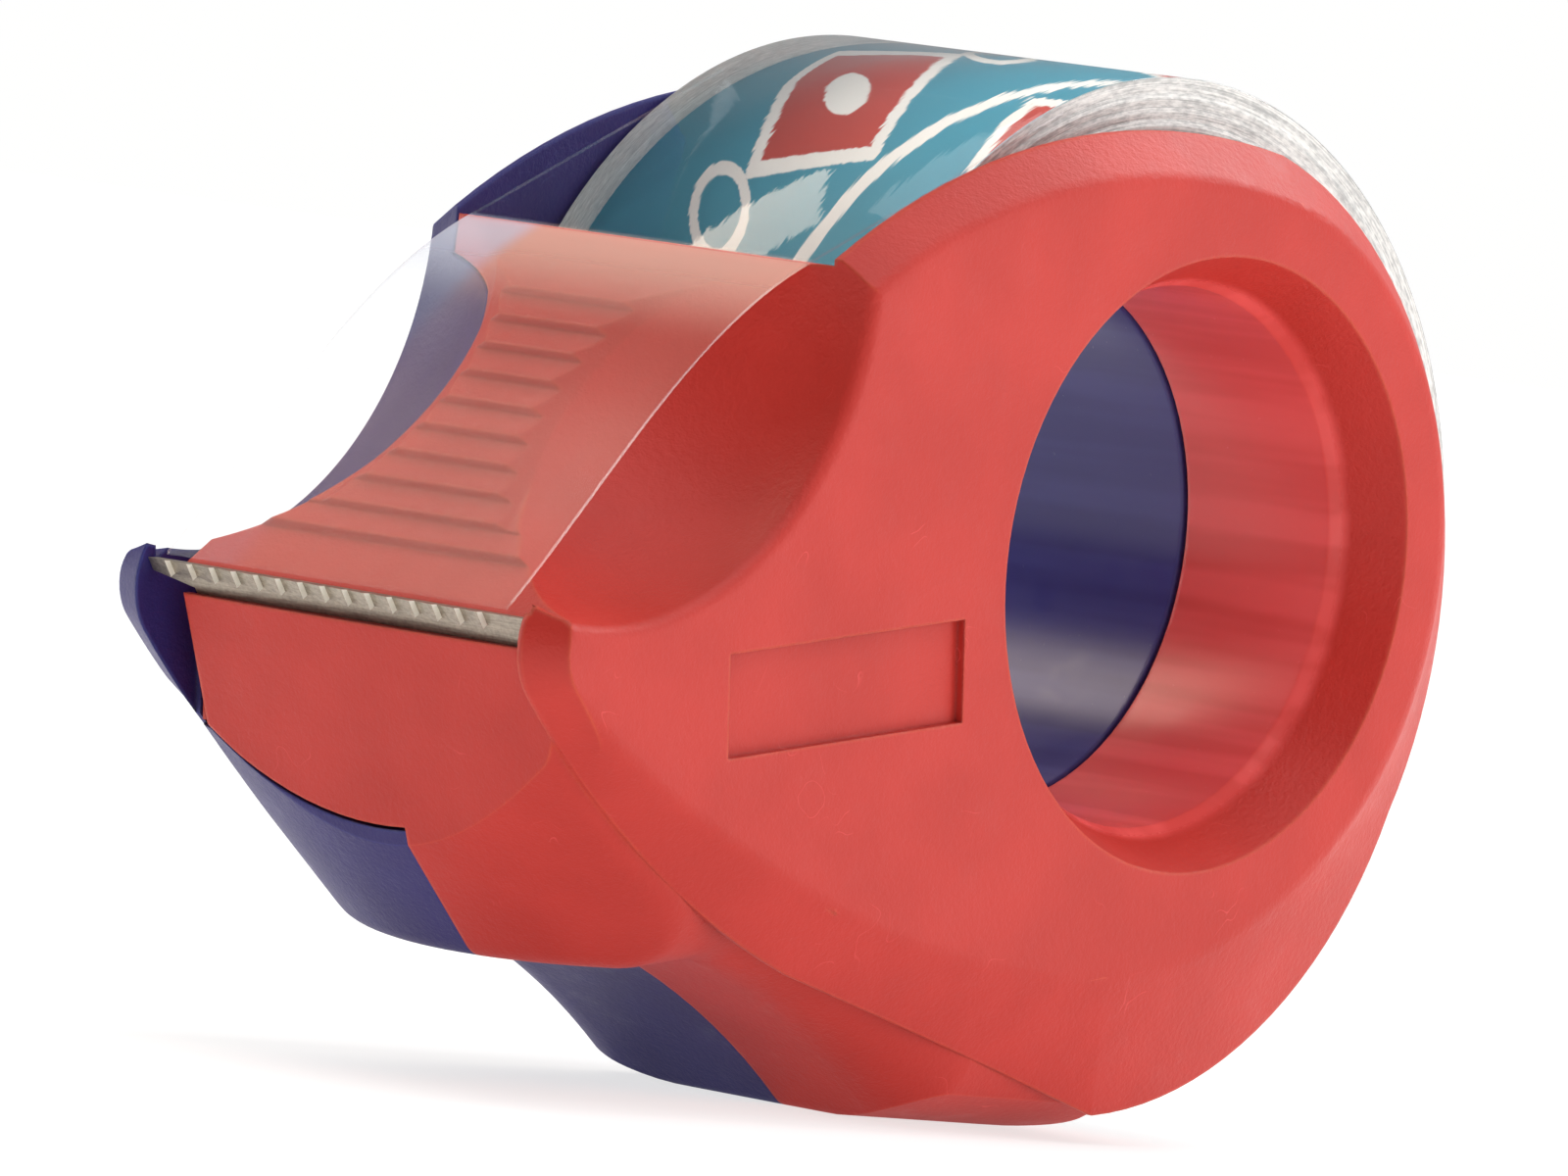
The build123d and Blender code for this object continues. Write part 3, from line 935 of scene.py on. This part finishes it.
# ---- studio -------------------------------------------------------------------------------------
@dataclass(frozen=True)
class Softbox:
    """One rectangular studio light.

    Attributes:
        name: Name of the light.
        place: Its middle.
        size: Its width and height.
        power: Its power in watts.
        tint: Its colour.
        mirrored: Whether shiny faces mirror it.
        lights: Whether dull faces are lit by it.
    """

    name: str
    place: Point
    size: tuple[float, float]
    power: float
    tint: Colour = (1.0, 1.0, 1.0)
    mirrored: bool = True
    lights: bool = True

    def build(self, target: Vector) -> None:
        """Hang the light, turned to the object.

        Args:
            target: Middle of the object.
        """
        data = bpy.data.lights.new(self.name, "AREA")
        data.shape = "RECTANGLE"
        data.size, data.size_y = self.size
        data.energy = self.power
        data.color = self.tint
        lamp = bpy.data.objects.new(self.name, data)
        lamp.visible_glossy = self.mirrored
        lamp.visible_diffuse = self.lights
        lamp.location = self.place
        lamp.rotation_euler = (target - Vector(self.place)).to_track_quat("-Z", "Y").to_euler()
        bpy.context.scene.collection.objects.link(lamp)


WARM: Colour = (1.0, 0.93, 0.84)
SOFTBOXES = (
    Softbox("key_light", (0.10, 0.54, 0.64), (0.60, 0.50), 4.6, WARM, mirrored=False),
    Softbox("side_light", (0.42, -0.70, 0.17), (0.50, 0.50), 1.8),
    Softbox("overhead_light", (-0.04, -0.18, 0.68), (0.60, 0.60), 2.0),
    Softbox("saddle_light", (-0.29, 0.54, 0.60), (0.30, 0.50), 3.0, (1.0, 0.84, 0.68), lights=False),
    Softbox("back_light", (-0.24, 0.70, 0.06), (0.25, 0.30), 1.5),
    Softbox("top_light", (0.52, -0.02, 0.46), (0.30, 0.30), 1.7),
)


@dataclass
class Studio:
    """Pale floor, soft light and camera.

    Attributes:
        floor_size: Half of the floor's width.
        camera_place: Place of the camera.
        camera_turn: Its Euler angles in degrees.
        lens: Its focal length in millimetres.
        sensor: Width of its sensor in millimetres.
        clip: Nearest and farthest distance that it sees.
        dim_fill: Fill light from the nose's side.
        bright_fill: Fill light from the tail's side.
        dim_glow: Glow of the floor on the nose's side.
        bright_glow: Glow of the floor on the tail's side.
    """

    floor_size: float = 6.0
    camera_place: Point = (-0.4765006, -0.40516562, 0.01203425)
    camera_turn: Point = (88.556415, -7.862137, -48.688880)
    lens: float = 337.5
    sensor: float = 36.0
    clip: tuple[float, float] = (0.05, 20.0)
    dim_fill: Colour = (0.04, 0.04, 0.045)
    bright_fill: Colour = (0.66, 0.66, 0.67)
    dim_glow: Colour = (0.30, 0.30, 0.30)
    bright_glow: Colour = (0.80, 0.80, 0.80)

    def build(self) -> None:
        """Set up everything that isn't the object."""
        low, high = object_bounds()
        self.floor(low[2])
        target = Vector([(a + b) / 2 for a, b in zip(low, high)])
        for light in SOFTBOXES:
            light.build(target)
        self.world()
        self.camera()
        view = bpy.context.scene.view_settings
        view.view_transform = "Standard"
        view.look = "None"

    @staticmethod
    def towards_tail(x: Signal, y: Signal) -> Signal:
        """How far a place lies towards the brighter side of the studio.

        Args:
            x: Its place along the body.
            y: Its place across the body.

        Returns:
            The distance, below 0 on the dim side.
        """
        return x * TAIL_WAY[0] + y * TAIL_WAY[1]

    def floor(self, height: float) -> None:
        """Lay the pale floor.

        Args:
            height: Its height, that of the object's lowest point.
        """
        mesh = bmesh.new()
        bmesh.ops.create_grid(mesh, x_segments=1, y_segments=1, size=self.floor_size)
        bmesh.ops.translate(mesh, verts=mesh.verts, vec=(0, 0, height))
        material, g = new_material("pale_floor")
        place = g.millimetres()
        x, y, _ = g.split(place)
        paper = g.noise(place, 0.02, 2.0)
        away = ((x * x + y * y) ** 0.5).ramp(60.0, 260.0)
        glow = g.mix(self.towards_tail(x, y).ramp(30.0, 260.0), self.dim_glow, self.bright_glow)
        seen = Signal(g, g.add("ShaderNodeLightPath").outputs["Is Camera Ray"])
        lit = g.add("ShaderNodeBsdfPrincipled", None, {
            "Base Color": (0.8, 0.8, 0.795), "Roughness": 0.9 + 0.05 * paper,
            "Emission Color": glow, "Emission Strength": 1.0})
        white = g.add("ShaderNodeEmission", None, {"Color": WHITE, "Strength": 1.1})
        g.show(g.blend(seen * (0.5 + 0.5 * away), lit, white))
        finished("floor", mesh, [material])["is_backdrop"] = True

    def world(self) -> None:
        """Fill light from all round, in front of a plain white background."""
        world = bpy.data.worlds.new("studio")
        bpy.context.scene.world = world
        world.use_nodes = True
        g = Graph(world.node_tree)
        seen = g.add("ShaderNodeLightPath").outputs["Is Camera Ray"]
        x, y, _ = g.split(g.add("ShaderNodeTexCoord").outputs["Generated"])
        fill = g.mix(self.towards_tail(x, y).ramp(-0.55, 0.6), self.dim_fill, self.bright_fill)
        soft = g.add("ShaderNodeBackground", None, {"Color": fill, "Strength": 1.0})
        white = g.add("ShaderNodeBackground", None, {"Color": WHITE, "Strength": 1.0})
        g.show(g.blend(seen, soft, white), "ShaderNodeOutputWorld")

    def camera(self) -> None:
        """Place the camera."""
        data = bpy.data.cameras.new("camera")
        data.lens = self.lens
        data.sensor_width = self.sensor
        data.sensor_fit = "HORIZONTAL"
        data.clip_start, data.clip_end = self.clip
        camera = bpy.data.objects.new("camera", data)
        turn = Euler([math.radians(a) for a in self.camera_turn])
        camera.matrix_world = Matrix.LocRotScale(Vector(self.camera_place), turn, None)
        bpy.context.scene.collection.objects.link(camera)
        bpy.context.scene.camera = camera


def main() -> None:
    """Build the dispenser's looks and its studio."""
    logging.basicConfig(level=logging.INFO)
    Studio().build()
    Shells().dress()
    Cutter().dress()
    TapeRoll().build()
    FreeEnd().dress()
    bpy.context.view_layer.update()


if __name__ == "__main__":
    main()
